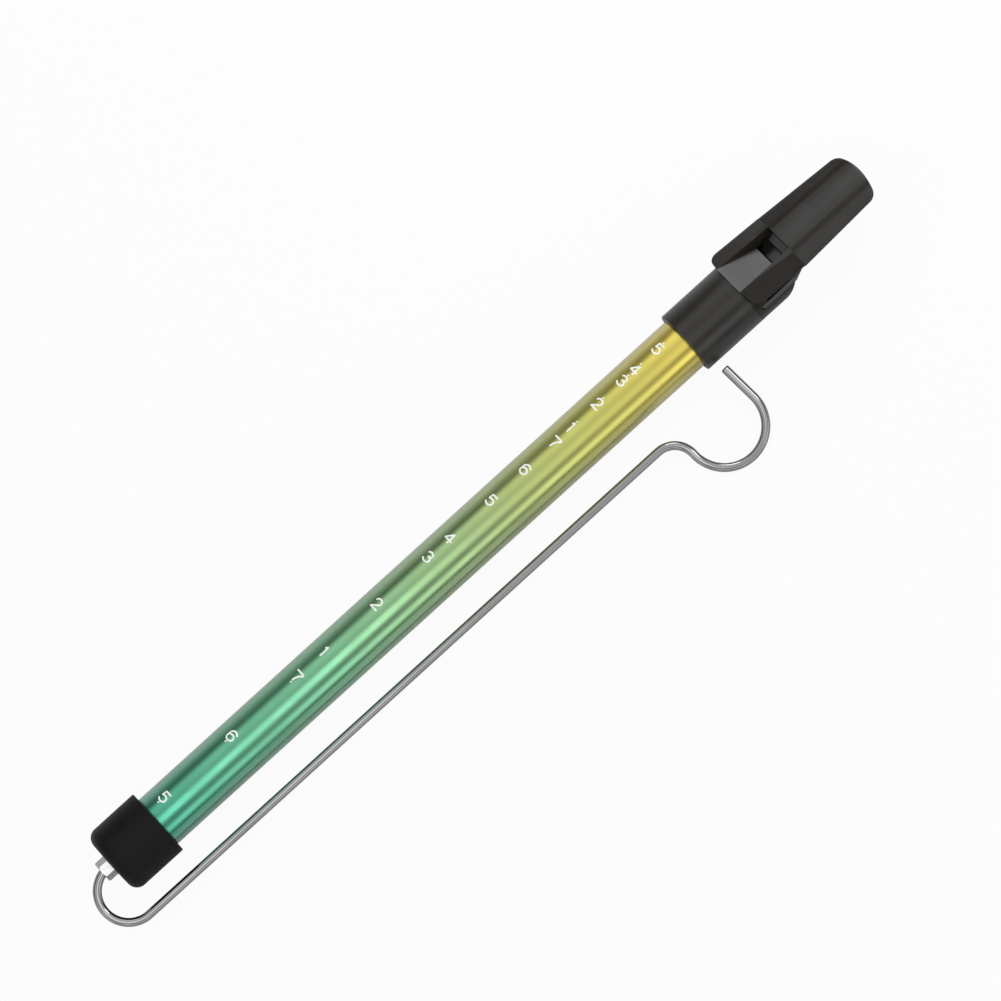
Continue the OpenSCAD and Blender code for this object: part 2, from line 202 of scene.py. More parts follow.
# %% [markdown]
# White numbers are printed along the tube to show where the notes lie. They run from a low five
# to a high five, with a dot below or above for the other octaves. A typeface could be used, but
# these are drawn with one round pen, so each number is a few strokes, and a stroke is a flat bead
# of ink carried along a line.

# %% The strokes of the numbers, on a sheet one wide and one high
def line(*points):
    return np.array(points, float)


STROKES = {
    "1": [line((0.3, 0.84), (0.52, 1), (0.52, 0))],
    "2": [np.concatenate([bend(0.5, 0.7, 0.42, 0.3, 165, -35), line((0.06, 0.0), (1, 0))])],
    "3": [bend(0.44, 0.76, 0.4, 0.24, 150, -90), bend(0.46, 0.27, 0.46, 0.27, 90, -155)],
    "4": [line((0.72, 0), (0.72, 1), (0.02, 0.28), (1, 0.28))],
    "5": [np.concatenate([line((0.9, 1), (0.2, 1), (0.14, 0.54)),
                          bend(0.48, 0.32, 0.46, 0.32, 118, -150)])],
    "6": [np.concatenate([bend(0.56, 0.62, 0.5, 0.38, 35, 180),
                          bend(0.5, 0.31, 0.45, 0.31, 180, -180, 36)])],
    "7": [np.concatenate([line((0, 1), (0.96, 1)), bend(1.5, 0.0, 1.06, 0.98, 120, 180)])],
}

# Each mark: number, octave (-1 has a dot below, 1 has a dot above), distance from the cap's rim
MARKS = [
    ("5", -1, 5.8), ("6", -1, 30.5), ("7", -1, 54.5), ("1", 0, 64.6), ("2", 0, 84.0),
    ("3", 0, 102.9), ("4", 0, 110.8), ("5", 0, 126.0), ("6", 0, 138.5), ("7", 0, 149.5),
    ("1", 1, 155.6), ("2", 1, 165.3), ("3", 1, 174.5), ("4", 1, 179.2), ("5", 1, 187.5),
]
MARK_H = 3.02 * MM
MARK_W = 2.6 * MM
INK_HALF = 0.255 * MM
INK_PROUD = 0.025 * MM
INK_SUNK = 0.03 * MM
DOT_OFF = 0.68 * MM
DOT_HALF = 0.02 * MM
PEN_STEP = 0.12 * MM
print("marks", len(MARKS))


# %% [markdown]
# A curve with a bevel could draw each bead of ink, but only on a flat sheet, and the tube is round.
# So the rings of a bead are worked out on the flat sheet first, and the sheet is wrapped later.

# %% Beads of ink
SAME_POINT = 1e-9


def run(path):
    """The way along a path to each of its points: the sum of the steps before it."""
    return np.concatenate([[0], np.cumsum(np.linalg.norm(np.diff(path, axis=0), axis=1))])


def resample(path, spacing):
    """Points spaced evenly along a line of straight stretches, by interpolation on its length."""
    path = path[np.concatenate([[True], np.diff(run(path)) > SAME_POINT])]
    length = run(path)
    at = np.linspace(0, length[-1], max(2, int(length[-1] / spacing) + 2))
    return np.stack([np.interp(at, length, path[:, 0]), np.interp(at, length, path[:, 1])], -1)


def ink_bead(path):
    """Rings of a flat bead along a path (n, 2) on the unrolled tube, as (rings, around, 3) of
    across, along and height. A ring is half an ellipse: width INK_HALF cos b and height
    INK_PROUD sin b, with its foot sunk by INK_SUNK. Round ends: extra rings step past the end
    by INK_HALF sin c, narrowed by cos c."""
    heading = np.gradient(path, axis=0)
    heading /= np.linalg.norm(heading, axis=1, keepdims=True)
    c = np.radians(np.linspace(85, 15, 6))
    past, narrow = INK_HALF * np.sin(c)[:, None], np.cos(c)
    path_all = np.concatenate([path[0] - heading[0] * past, path,
                               (path[-1] + heading[-1] * past)[::-1]])
    heading_all = np.concatenate([np.repeat(heading[:1], len(c), 0), heading,
                                  np.repeat(heading[-1:], len(c), 0)])
    share = np.concatenate([narrow, np.ones(len(path)), narrow[::-1]])[:, None]
    side = np.stack([heading_all[:, 1], -heading_all[:, 0]], -1)
    b = np.radians(np.linspace(0, 180, 7))
    width = np.concatenate([np.cos(b), [-1.0, 1.0]]) * INK_HALF
    height = np.concatenate([np.sin(b) * INK_PROUD, [-INK_SUNK, -INK_SUNK]])
    flat = path_all[:, None, :] + side[:, None, :] * (width * share)[..., None]
    lift = np.broadcast_to(height, flat.shape[:2])
    return np.concatenate([flat, lift[..., None]], -1)


print("bead, mm wide and proud:", round(2 * INK_HALF / MM, 2), round(INK_PROUD / MM, 3))

# %% [markdown]
# Wrapping the sheet is one formula for every point: a distance across the number becomes an angle
# round the tube, and the bead stays as deep at its sides as in its middle.


# %% The numbers wrapped on the tube
def on_tube(flat):
    """(across, along, height) on the unrolled tube becomes a point: the angle is across over the
    tube's radius, measured from the window's meridian towards the rod."""
    turn = flat[..., 0:1] / TUBE_R
    out = WINDOW_UP * np.cos(turn) - WINDOW_SIDE * np.sin(turn)
    return ALONG * flat[..., 1:2] + out * (TUBE_R + flat[..., 2:3])


def mark_paths(number, octave, along):
    """The strokes and the dot of one mark. Its top points along the tube, towards the head."""
    size = np.array([MARK_W, MARK_H])
    centre = np.array([0.0, CAP_RIM + along * MM])
    paths = [resample((stroke - 0.5) * size + centre, PEN_STEP) for stroke in STROKES[number]]
    if octave:
        dot = centre + np.array([0.0, octave * (MARK_H / 2 + DOT_OFF)])
        paths.append(dot + np.array([[-1, 0], [0, 0], [1, 0]]) * DOT_HALF)
    return paths


ink_points, ink_faces, made = [], [], 0
for mark in MARKS:
    for path in mark_paths(*mark):
        rings = on_tube(ink_bead(path))
        faces = ring_faces(rings.shape[0], rings.shape[1])
        ink_faces += [[corner + made for corner in face] for face in faces]
        ink_points.append(rings.reshape(-1, 3))
        made += rings.shape[0] * rings.shape[1]
ink = make_piece("printed_numbers", np.concatenate(ink_points), ink_faces)
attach(ink, "whistle_body")
print("ink faces", len(ink.data.polygons))

# %% [markdown]
# The end cap is a cup, 20.4 mm across, with a rounded nose that bulges a touch, as a moulded cap
# does. Its nose has a six-sided hole for the guide bush. A drilled hole would need a Boolean, but
# a hexagon is also a formula: from its centre, its side lies at half the flats over the cosine of
# the angle from the nearest flat. So the rings near the hole simply have that radius.

# %% The end cap
CAP_R = 10.2 * MM
CAP_ROUND = 3.2 * MM
CAP_BULGE = 0.12 * MM
RIM_ROUND = 0.4 * MM
CAP_FLOOR = CAP_FACE + 3.5 * MM
NOSE_FROM, FLOOR_TO = 0.45, 0.6
SEAT_GAP = 0.03 * MM
BUSH_FLATS = 5.5 * MM


def hexagon(flats):
    """Radius of a hexagon at each angle a from its flat: flats / 2 / cos(a), where a is folded
    into -30 to 30 degrees. The first flat faces the window's meridian turned by 30 degrees, so
    that one corner points at the window."""
    a = np.arange(AROUND) * 2 * np.pi / AROUND - WINDOW_ROLL
    folded = (a % (np.pi / 3)) - np.pi / 6
    return flats / 2 / np.cos(folded)


def cup_rings():
    """x and radius of the cap's rings: nose out to the wall, rim, socket and floor. The nose
    bulges as a parabola, by CAP_BULGE times the square of the radius over the nose's radius."""
    nose_r = np.linspace(NOSE_FROM, 1, 12) * (CAP_R - CAP_ROUND)
    bulge = CAP_BULGE * (1 - (nose_r / (CAP_R - CAP_ROUND)) ** 2)
    nose = np.stack([CAP_FACE + CAP_BULGE - bulge, nose_r], -1)
    corner = quarter(CAP_FACE + CAP_BULGE + CAP_ROUND, CAP_R - CAP_ROUND, CAP_ROUND, 180, 90, 24)
    rim_out = quarter(CAP_RIM - RIM_ROUND, CAP_R - RIM_ROUND, RIM_ROUND, 90, 0)
    socket_r = TUBE_R + SEAT_GAP
    rim_in = quarter(CAP_RIM - EDGE_BREAK, socket_r + EDGE_BREAK, EDGE_BREAK, 0, -90, 5)
    floor = np.array([[CAP_FLOOR, socket_r], [CAP_FLOOR, FLOOR_TO * socket_r]])
    return np.concatenate([nose, corner[1:], rim_out, rim_in, floor])


cup = cup_rings()
hex_hole = hexagon(BUSH_FLATS + 2 * SEAT_GAP)
cap_x = np.concatenate([[CAP_FLOOR, CAP_FACE + EDGE_BREAK, CAP_FACE], cup[:, 0]])
cap_r = np.concatenate([
    np.stack([hex_hole, hex_hole, hex_hole + EDGE_BREAK]),
    np.repeat(cup[:, 1:2], AROUND, axis=1),
])
cap = turned("end_cap_shell", cap_x, cap_r)
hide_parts("end_cap")
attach(cap, "whistle_body")
print("cap faces", len(cap.data.polygons))

# %% [markdown]
# The guide bush is a bright steel hexagon pressed into the cap, with a flange on the inside. A
# lathe has broken its corners, so its end shows the curved edge that a cone cuts on six flats.
# That is the smaller of two radii, the hexagon's and the cone's, which one line of numpy gives.

# %% The guide bush
BUSH_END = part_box("guide_bush")[0].x
FLANGE_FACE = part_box("guide_bush")[1].x
FLANGE_R = 4.5 * MM
BUSH_BREAK, CONE_SHARE = 0.35 * MM, 1.4
ROD_R = 1.25 * MM
RUN_GAP = 0.05 * MM
TURN_INTO_BUSH = 2.0 * MM
TURN_R = 8.55 * MM
mouth_r = ROD_R + RUN_GAP + TURN_R - math.sqrt(TURN_R ** 2 - TURN_INTO_BUSH ** 2)

cone_x = np.linspace(0, 1, 15) * CONE_SHARE * BUSH_BREAK
hex_x = BUSH_END + np.concatenate([cone_x, [CAP_FLOOR - BUSH_END]])
corner_r = BUSH_FLATS / math.sqrt(3)
cone = corner_r - BUSH_BREAK + (hex_x - BUSH_END)
hex_r = np.minimum(hexagon(BUSH_FLATS), cone[:, None])
inside = np.array([
    [CAP_FLOOR, FLANGE_R], [FLANGE_FACE - EDGE_BREAK, FLANGE_R],
    [FLANGE_FACE, FLANGE_R - EDGE_BREAK], [FLANGE_FACE, ROD_R + RUN_GAP],
    [BUSH_END + TURN_INTO_BUSH, ROD_R + RUN_GAP], [BUSH_END + EDGE_BREAK, mouth_r],
    [BUSH_END, mouth_r + EDGE_BREAK],
])
bush = turned("guide_bush_turned", np.concatenate([hex_x, inside[:, 0]]),
              np.concatenate([hex_r, np.repeat(inside[:, 1:2], AROUND, 1)]))
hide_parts("guide_bush")
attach(bush, "whistle_body")
print("bush faces", len(bush.data.polygons))

# %% [markdown]
# The slide rod is one bent wire, 2.5 mm thick. It could be a Blender curve with a bevel, but here
# the wire also has a small groove for its retaining ring and ground ends, so it is a circle of
# changing radius carried along a path. The path is walked like a bending jig works: go straight,
# bend round a pin, go straight again. Each point keeps its distance along the wire as a texture
# coordinate, so that the drawing marks in the steel can follow the bends.

# %% Walk the wire
NECK_R = 6.9 * MM
HOOK_R = 11.4 * MM
HOOK_X = 90.1 * MM
POINTER = 11.0 * MM
POINTER_LEAN = 3.7
ROD_START = 96.4 * MM
TURN_X = BUSH_END + TURN_INTO_BUSH
CLIP_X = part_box("retaining_ring")[0].x
CLIP_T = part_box("retaining_ring")[1].x - CLIP_X
CLIP_DEPTH = 0.35 * MM
ROD_CHAMFER = 0.3 * MM
GROOVE_EDGE = 0.02 * MM
STRAIGHT_STEP, TURN_STEP = 2 * MM, 2.5


def walk(start, heading, steps):
    """Points and headings of a wire in a plane. A step of (length, 0) goes straight, and a step
    of (radius, turn) goes round a circle by turn degrees: the centre lies a radius to the side,
    and the point is the centre plus the radius turned with the heading."""
    places, headings = [np.array([start])], [np.array([math.radians(heading)])]
    for size, turn in steps:
        here, toward = places[-1][-1], headings[-1][-1]
        if turn == 0:
            forward = np.array([math.cos(toward), math.sin(toward)])
            far = np.linspace(0, size, max(2, int(size / STRAIGHT_STEP)))[1:, None]
            places.append(here + forward * far)
            headings.append(np.full(len(far), toward))
        else:
            sign = math.copysign(1, turn)
            centre = here + sign * size * np.array([-math.sin(toward), math.cos(toward)])
            new = toward + np.radians(np.linspace(0, turn, int(abs(turn) / TURN_STEP) + 1))[1:]
            places.append(centre + sign * size * np.stack([np.sin(new), -np.cos(new)], -1))
            headings.append(new)
    return np.concatenate(places), np.concatenate(headings)


leg_len = HOOK_X - NECK_R - HOOK_R - TURN_X
route, headings = walk((ROD_START, 0.0), 180, [
    (ROD_CHAMFER, 0), (ROD_START - ROD_CHAMFER - CLIP_X - CLIP_T, 0), (GROOVE_EDGE, 0),
    (CLIP_T - 2 * GROOVE_EDGE, 0), (GROOVE_EDGE, 0), (CLIP_X - TURN_X, 0),
    (TURN_R, -180), (leg_len, 0), (NECK_R, 90), (HOOK_R, -180 - POINTER_LEAN),
    (POINTER - ROD_CHAMFER, 0), (ROD_CHAMFER, 0),
])
print("wire length, mm:", round(run(route)[-1] / MM, 1))

# %% [markdown]
# The route is only a line. Now a circle of points stands round each of its places, square to the
# way the wire goes there. The radius is smaller in the ring's groove and at the two ground ends.


# %% The slide rod
def wire_piece(name, route, headings, radius, around=40):
    """A wire along a route in the rod's plane. Point b of a ring is the route's point plus the
    radius times (cos b across the heading + sin b up from the plane)."""
    middle = ALONG * route[:, 0:1] + ROD_OUT * route[:, 1:2]
    across = ALONG * -np.sin(headings)[:, None] + ROD_OUT * np.cos(headings)[:, None]
    b = np.arange(around) * 2 * np.pi / around
    spoke = across[:, None, :] * np.cos(b)[:, None] + ROD_UP * np.sin(b)[:, None]
    points = middle[:, None, :] + spoke * radius[:, None, None]
    uv = np.stack(np.broadcast_arrays(b / (2 * np.pi), run(route)[:, None]), -1)
    return skin_over(name, points, uv=uv.reshape(-1, 2))


from_clip = route[:, 0] - CLIP_X
in_groove = (route[:, 1] == 0) & (from_clip > GROOVE_EDGE / 2) \
    & (from_clip < CLIP_T - GROOVE_EDGE / 2)
wire_r = np.where(in_groove, ROD_R - CLIP_DEPTH, ROD_R)
wire_r[[0, -1]] = ROD_R - ROD_CHAMFER
rod = wire_piece("bent_slide_rod", route, headings, wire_r)
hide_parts("slide_rod")
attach(rod, "rod")
print("rod faces", len(rod.data.polygons))

# %% [markdown]
# The head is one moulding: a round barrel that takes the tube, two ears that stand beside the
# ramp and the window, and a flat beak. It could be pushed about as a subdivision surface, but its
# facets are flat and its edges are even, as a steel mould makes them. So the ears and the beak are
# one skin over cross sections that follow the plan's outline, with every corner of a section
# eased by a small parabola. In these cells lengths are in millimetres from the barrel's rim.

# %% Sizes of the head, in millimetres
BARREL_R = 9.65
WING_START = 19.6
LIP_X = WING_START + 12.2
ROOF_X = LIP_X + 6.1
TIP_X = ROOF_X + 29.2
BARREL_BORE = BORE_R / MM
SOCKET_R = (TUBE_R + SEAT_GAP) / MM
SOCKET_DEPTH = 18.7

LIP_UNDER, LIP_TOP, LIP_HALF = 5.75, 6.0, 3.5
WINDWAY_HALF, WINDWAY_FLOOR, WINDWAY_TOP = 4.3, 5.3, 6.3
BLOCK_UNDER = 2.4
BEAK_UNDER = 1.2


def in_head(points):
    """Points (x from the rim, side, up) in millimetres, put in place on the whistle in metres."""
    points = np.asarray(points, float) * MM
    return (ALONG * (HEAD_RIM + points[..., 0:1])
            + WINDOW_SIDE * points[..., 1:2] + WINDOW_UP * points[..., 2:3])


def head_part(name, rings):
    """A skin over rings that are given in the head's millimetres."""
    return skin_over(name, in_head(rings))


print("head length, mm:", round(TIP_X, 1))

# %% [markdown]
# Seen from above, the ears and the beak have one outline: a rounded corner at the shoulder, long
# sides that draw in, and a curved tip. It is written as circles and straight lines.

# %% Plan of the ears and the beak
FRONT_CORNER, TIP_CORNER, TIP_ARC = 2.7, 3.3, 20.0
EDGE_FRONT, EDGE_ROOF, EDGE_TIP = 10.7, 10.4, 8.9
STEP, LAST_ANGLE = 0.12, 0.02

tip_turn = math.asin((EDGE_TIP - TIP_CORNER) / (TIP_ARC - TIP_CORNER))
tip_mid_x = TIP_X - TIP_ARC + (TIP_ARC - TIP_CORNER) * math.cos(tip_turn)
tip_mid_half = EDGE_TIP - TIP_CORNER


def full_half(x):
    """Half width of the ears and the beak before their corners are rounded."""
    return np.interp(x, [WING_START, ROOF_X, tip_mid_x], [EDGE_FRONT, EDGE_ROOF, EDGE_TIP])


def plan():
    """x and half width of every station. Corners are circles: the front corner is at
    x = start + r (1 - cos a), the tip's corner at x = middle + r cos a, the tip's arc at
    x = tip - R (1 - cos a), as far as LAST_ANGLE, so that the last section keeps a width."""
    a = np.radians(np.linspace(0, 90, 12))
    corner_x = WING_START + FRONT_CORNER * (1 - np.cos(a))
    corner = full_half(corner_x) - FRONT_CORNER * (1 - np.sin(a))
    ears_x = np.linspace(corner_x[-1], ROOF_X, 22)[1:]
    beak_x = np.linspace(ROOF_X + STEP, tip_mid_x, 26)
    a = np.linspace(math.pi / 2, tip_turn, 12)[1:]
    turn_x, turn_half = tip_mid_x + TIP_CORNER * np.cos(a), tip_mid_half + TIP_CORNER * np.sin(a)
    a = np.linspace(tip_turn, LAST_ANGLE, 14)[1:]
    arc_x, arc_half = TIP_X - TIP_ARC * (1 - np.cos(a)), TIP_ARC * np.sin(a)
    x = np.concatenate([corner_x, ears_x, beak_x, turn_x, arc_x])
    half = np.concatenate([corner, full_half(ears_x), full_half(beak_x), turn_half, arc_half])
    return x, half


print("ears and beak, mm wide:", 2 * EDGE_FRONT, "to", round(2 * tip_mid_half + 2 * TIP_CORNER, 1))

# %% [markdown]
# A section across the head has a top, an edge, a slanting underside and a flat bottom. It is worked
# out for its full width, and then kept only as far as the plan reaches, so that the round corners
# of the plan cut it off cleanly.

# %% Sections of the ears and the beak
EAR_TOP = ([WING_START, 25.8, ROOF_X],
           [[5.16, 5.0, 4.65], [5.2, 5.25, 6.3]],
           [[9.65, 9.31, 8.65], [9.63, 9.26, 8.35]])
BEAK_TOP = ([ROOF_X, tip_mid_x],
            [[4.95, 4.2], [5.3, 4.55]],
            [[7.05, 6.66], [7.0, 6.61]])
EDGE_H = ([WING_START, ROOF_X, ROOF_X + STEP, tip_mid_x], [7.1, 5.9, 5.9, 5.5])
EDGE_T = ([WING_START, ROOF_X, ROOF_X + STEP], [0.4, 0.6, 0.95])
ROOF_CROWN = 0.5
CROWN_PLACES, CROWN_SHARES = (0.45, 0.9), (0.8, 0.3)
SECTION_SHARES = np.array([0, 0.25, 0.5, 0.6, 0.7, 1])
UNDER_SHARE = 0.72
TIP_EASE, TIP_DROP = 0.7, 0.8
EAR_LEAN, LEAN_LEN = 0.29, 8.0


def top_corners(x):
    """Side and height of the six top corners of the section at x, from the middle to the edge.
    Over the ears the middle is level with the inner corner, and on the beak it is crowned."""
    ears = x <= ROOF_X
    side, height = [], []
    for n in (0, 1):
        ear = np.interp(x, EAR_TOP[0], EAR_TOP[1][n]), np.interp(x, EAR_TOP[0], EAR_TOP[2][n])
        beak = np.interp(x, BEAK_TOP[0], BEAK_TOP[1][n]), np.interp(x, BEAK_TOP[0], BEAK_TOP[2][n])
        side.append(np.where(ears, ear[0], beak[0]))
        height.append(np.where(ears, ear[1], beak[1]))
    crown = np.where(ears, 0.0, ROOF_CROWN)
    side = np.stack([0 * x, *(share * side[0] for share in CROWN_PLACES), *side, full_half(x)], 1)
    height = np.stack([height[0] + crown, *(height[0] + share * crown for share in CROWN_SHARES),
                       *height, np.interp(x, *EDGE_H)], 1)
    return side, height


def leaned(x, drop):
    """x of every corner where the front edge leans: x + lean * drop. The lean is EAR_LEAN at the
    shoulder and fades to nothing over LEAN_LEN."""
    lean = EAR_LEAN * np.clip(1 - (x - WING_START) / LEAN_LEN, 0, 1)
    return x[:, None] + lean[:, None] * drop


def sections(x, half):
    """Closed sections (stations, corners, 3). The top follows top_corners as far as the plan's
    half width, then comes the edge, the slanting underside and the flat bottom."""
    side, height = top_corners(x)
    kept = np.minimum(side, half[:, None] * SECTION_SHARES)
    kept_h = np.stack([np.interp(kept[k], side[k], height[k]) for k in range(len(x))])
    past = np.clip(TIP_EASE - (TIP_X - x), 0, TIP_EASE)
    kept_h -= (TIP_EASE - np.sqrt(TIP_EASE ** 2 - past ** 2))[:, None] * TIP_DROP
    under = np.stack([half, UNDER_SHARE * half], 1)
    under_h = np.stack([kept_h[:, -1] - np.interp(x, *EDGE_T), np.full(len(x), BEAK_UNDER)], 1)
    right = np.stack([np.concatenate([kept, under], 1), np.concatenate([kept_h, under_h], 1)], -1)
    left = right[:, :0:-1] * np.array([-1, 1])
    bottom = np.stack([0 * x, np.full(len(x), BEAK_UNDER)], -1)[:, None]
    ring = np.concatenate([right, bottom, left], 1)
    along = leaned(x, height[:, 3:4] - ring[..., 1])
    return np.concatenate([along[..., None], ring], -1)


# %% [markdown]
# No corner of a moulding is sharp. A Bevel modifier could round them, but it takes one width for
# all. Here each corner of a section gets its own ease, and the beak's edge the largest, because
# it goes between the lips.

# %% Eased corners, and the skin
SIDE_SHARE = 0.45
NO_LENGTH = 1e-6


def ease_corners(outline, ease, steps=7):
    """Each corner p becomes a parabola, (1 - t)^2 a + 2 t (1 - t) p + t^2 b, where a and b lie on
    its two sides at the ease distance, or at SIDE_SHARE of a side that is too short for that."""
    def reach(side):
        length = np.linalg.norm(side, axis=-1, keepdims=True)
        share = ease[:, None] / np.maximum(length, NO_LENGTH)
        return outline + side * np.minimum(share, SIDE_SHARE)

    a = reach(np.roll(outline, 1, axis=1) - outline)[:, :, None]
    b = reach(np.roll(outline, -1, axis=1) - outline)[:, :, None]
    t = np.linspace(0, 1, steps)[:, None]
    p = outline[:, :, None]
    return ((1 - t) ** 2 * a + 2 * t * (1 - t) * p + t ** 2 * b).reshape(len(outline), -1, 3)


CORNER_EASE, BOTTOM_EASE = np.array([0.5, 0.5, 0.3, 0.25, 0.3, 1.1, 0.3, 0.8]), 0.5
head_x, head_half = plan()
skin = sections(head_x, head_half)
skin = ease_corners(skin, np.concatenate([CORNER_EASE, [BOTTOM_EASE], CORNER_EASE[:0:-1]]))
paddle = head_part("ears and beak", skin)
print("ears and beak:", skin.shape[0], "sections of", skin.shape[1], "points")

# %% [markdown]
# The barrel ends in a chin, a slanting face below the beak, and flares out at its sides to carry
# the ears. These overlap the ears' skin, and the hollows have to be cut out of all of them, so
# here Booleans are the simple and exact way. Every tool is a closed skin too.

# %% Barrel, chin and flare
CHIN_X, CHIN_H, CHIN_SLOPE = ROOF_X - 0.9, 5.55, math.radians(54)
CHIN_EASE = 0.3
RIM_EASE = RIM_ROUND / MM


def chin_x(height, back=0.0):
    """Where the chin's slanting plane, set back by a wall, stands at a height."""
    return CHIN_X - back / math.sin(CHIN_SLOPE) + (height - CHIN_H) / math.tan(CHIN_SLOPE)


rim = quarter(RIM_EASE, BARREL_R - RIM_EASE, RIM_EASE, 180, 90)
barrel_rings = round_rings(np.concatenate([rim[:, 0], [WING_START, 0, 0]]),
                           np.concatenate([rim[:, 1], [BARREL_R, BARREL_R, BARREL_R - CHIN_EASE]]))
for k, back in ((-2, CHIN_EASE), (-1, 0.0)):
    barrel_rings[k, :, 0] = np.minimum(chin_x(barrel_rings[k, :, 2], back), ROOF_X - back)
barrel = head_part("barrel", barrel_rings)

FLARE_IN, FLARE_CORNER, FLARE_LOW, FLARE_FOOT = 0.2, 0.8, 1.25, 9.6
FLARE_TOP = ([WING_START, ROOF_X], [4.5, 4.9])
COVE_IN, COVE_DEEP = 1.6, ([WING_START + 2.6, WING_START + 4.2], [-1.5, 0.5])
CHIN_STEP = 0.002
a = np.radians(np.linspace(0, 90, 6))
flare_x = WING_START + FLARE_IN + np.concatenate([
    FLARE_CORNER * (1 - np.cos(a)), np.linspace(FLARE_CORNER, ROOF_X - WING_START, 24)[1:]])
flare_half = full_half(flare_x) - FLARE_IN
flare_half[:len(a)] -= FLARE_CORNER * (1 - np.sin(a))
flare_h = np.interp(flare_x, *FLARE_TOP)
level = np.ones(len(flare_x))
flare_side = np.stack([flare_half - COVE_IN, flare_half, FLARE_FOOT * level,
                       FLARE_FOOT / 2 * level], 1)
flare_up = np.stack([flare_h - np.interp(flare_x, *COVE_DEEP), flare_h, FLARE_LOW * level,
                     0 * level], 1)
flare_side = np.concatenate([flare_side, -flare_side[:, ::-1]], 1)
flare_up = np.concatenate([flare_up, flare_up[:, ::-1]], 1)
flare_x = leaned(flare_x, BARREL_R - flare_up)
flare_x = np.minimum(flare_x, chin_x(flare_up) + CHIN_STEP * np.arange(len(flare_x))[:, None])
flare = head_part("flare", np.stack([flare_x, flare_side, flare_up], -1))
print("barrel", len(barrel.data.polygons), "flare", len(flare.data.polygons))


# %% [markdown]
# A shallow groove runs over the shoulder, where the barrel ends and the ears begin, and draws a
# dark line there. Its cutter is a short band round the barrel, with a leaning front like the ears'.

# %% The groove at the shoulder
GROOVE_W, GROOVE_DEEP, GROOVE_REACH = 0.4, 0.35, 84
GROOVE_PAST, GROOVE_OUT = 0.1, 1

a = np.radians(np.linspace(-GROOVE_REACH, GROOVE_REACH, 81))[:, None]
groove_r = BARREL_R + np.array([-GROOVE_DEEP, GROOVE_OUT, GROOVE_OUT, -GROOVE_DEEP])
groove_dx = np.array([-GROOVE_W, -GROOVE_W, GROOVE_PAST, GROOVE_PAST])
groove_up = groove_r * np.cos(a)
groove = head_part("groove", np.stack([
    WING_START + EAR_LEAN * (BARREL_R - groove_up) + groove_dx,
    groove_r * np.sin(a), groove_up], -1))
print("groove", len(groove.data.polygons))


# %% [markdown]
# Now the hollows: the socket for the tube, the bore behind it, the ramp down to the lip, the window
# and the windway. In the real mould each is the print of a steel pin. Here each pin is a closed
# skin, and a Boolean takes it out of the head.


# %% The hollows
OVER = 0.6
CHIN_WALL = 1.7
MOUTH_EASE = 0.25
RAMP_HALF, WINDOW_FOOT = 5.16, 7.65
WALL_SPREAD, TROUGH_TOP = 0.44, 11.25
BELOW = 0.025
WINDWAY_X = LIP_X + 2


def combine(target, tool, operation):
    """A Boolean, applied at once. The tool is deleted."""
    modifier = target.modifiers.new(operation, "BOOLEAN")
    modifier.operation, modifier.object, modifier.solver = operation, tool, "MANIFOLD"
    graph = bpy.context.evaluated_depsgraph_get()
    mesh = bpy.data.meshes.new_from_object(target.evaluated_get(graph))
    target.modifiers.clear()
    target.data = mesh
    bpy.data.objects.remove(tool)
    return target


socket = head_part("socket", round_rings(
    [-OVER, 0, MOUTH_EASE, SOCKET_DEPTH],
    [SOCKET_R + MOUTH_EASE + OVER, SOCKET_R + MOUTH_EASE, SOCKET_R, SOCKET_R]))

bore_rings = round_rings([SOCKET_DEPTH - OVER, 0], [BARREL_BORE, BARREL_BORE])
bore_rings[..., 2] = np.minimum(bore_rings[..., 2], LIP_UNDER)
bore_rings[1, :, 0] = chin_x(bore_rings[1, :, 2], CHIN_WALL)
bore = head_part("bore", bore_rings)


def trough(stations):
    """A cutter with sloping walls. A station is x, half width at the foot, the foot's height,
    and how far straight walls go on below the foot."""
    rings = []
    for x, half, foot, below in stations:
        wide = half + WALL_SPREAD * (TROUGH_TOP - foot)
        right = [(x, wide, TROUGH_TOP), (x, half, foot), (x, half, foot - below)]
        rings.append(right + [(x, -v, w) for x, v, w in reversed(right)])
    return head_part("trough", np.array(rings))


slope = (BARREL_R - LIP_TOP) / (LIP_X - WING_START)
ramp_tool = trough([
    (WING_START - OVER, RAMP_HALF, BARREL_R + OVER * slope, BELOW),
    (WING_START, RAMP_HALF, BARREL_R, BELOW),
    (LIP_X, LIP_HALF, LIP_TOP, BELOW),
])
window_tool = trough([
    (LIP_X, LIP_HALF, LIP_TOP, LIP_TOP - BLOCK_UNDER),
    (ROOF_X, WINDWAY_HALF, WINDOW_FOOT, WINDOW_FOOT - BLOCK_UNDER),
])

windway = head_part("windway", np.array([
    [(x, WINDWAY_HALF, BLOCK_UNDER), (x, WINDWAY_HALF, WINDWAY_TOP),
     (x, -WINDWAY_HALF, WINDWAY_TOP), (x, -WINDWAY_HALF, BLOCK_UNDER)]
    for x in (WINDWAY_X, TIP_X + OVER)]))

hollows = (socket, bore, ramp_tool, window_tool, windway)
print("cutters", [tool.name for tool in hollows])

# %% [markdown]
# The order matters. The groove is cut while the barrel still stands alone, so that it doesn't
# mark the ears, and the hollows come last, because they go through all three parts.

# %% The head
head = combine(barrel, groove, "DIFFERENCE")
head = combine(head, flare, "UNION")
head = combine(head, paddle, "UNION")
for tool in hollows:
    head = combine(head, tool, "DIFFERENCE")
mesh = head.data
bpy.data.objects.remove(head)
head = finish_piece("moulded_head", mesh)
weighted = head.modifiers.new("even shading", "WEIGHTED_NORMAL")
weighted.keep_sharp = True
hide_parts("mouthpiece_head")
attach(head, "whistle_body")
print("head faces", len(head.data.polygons))

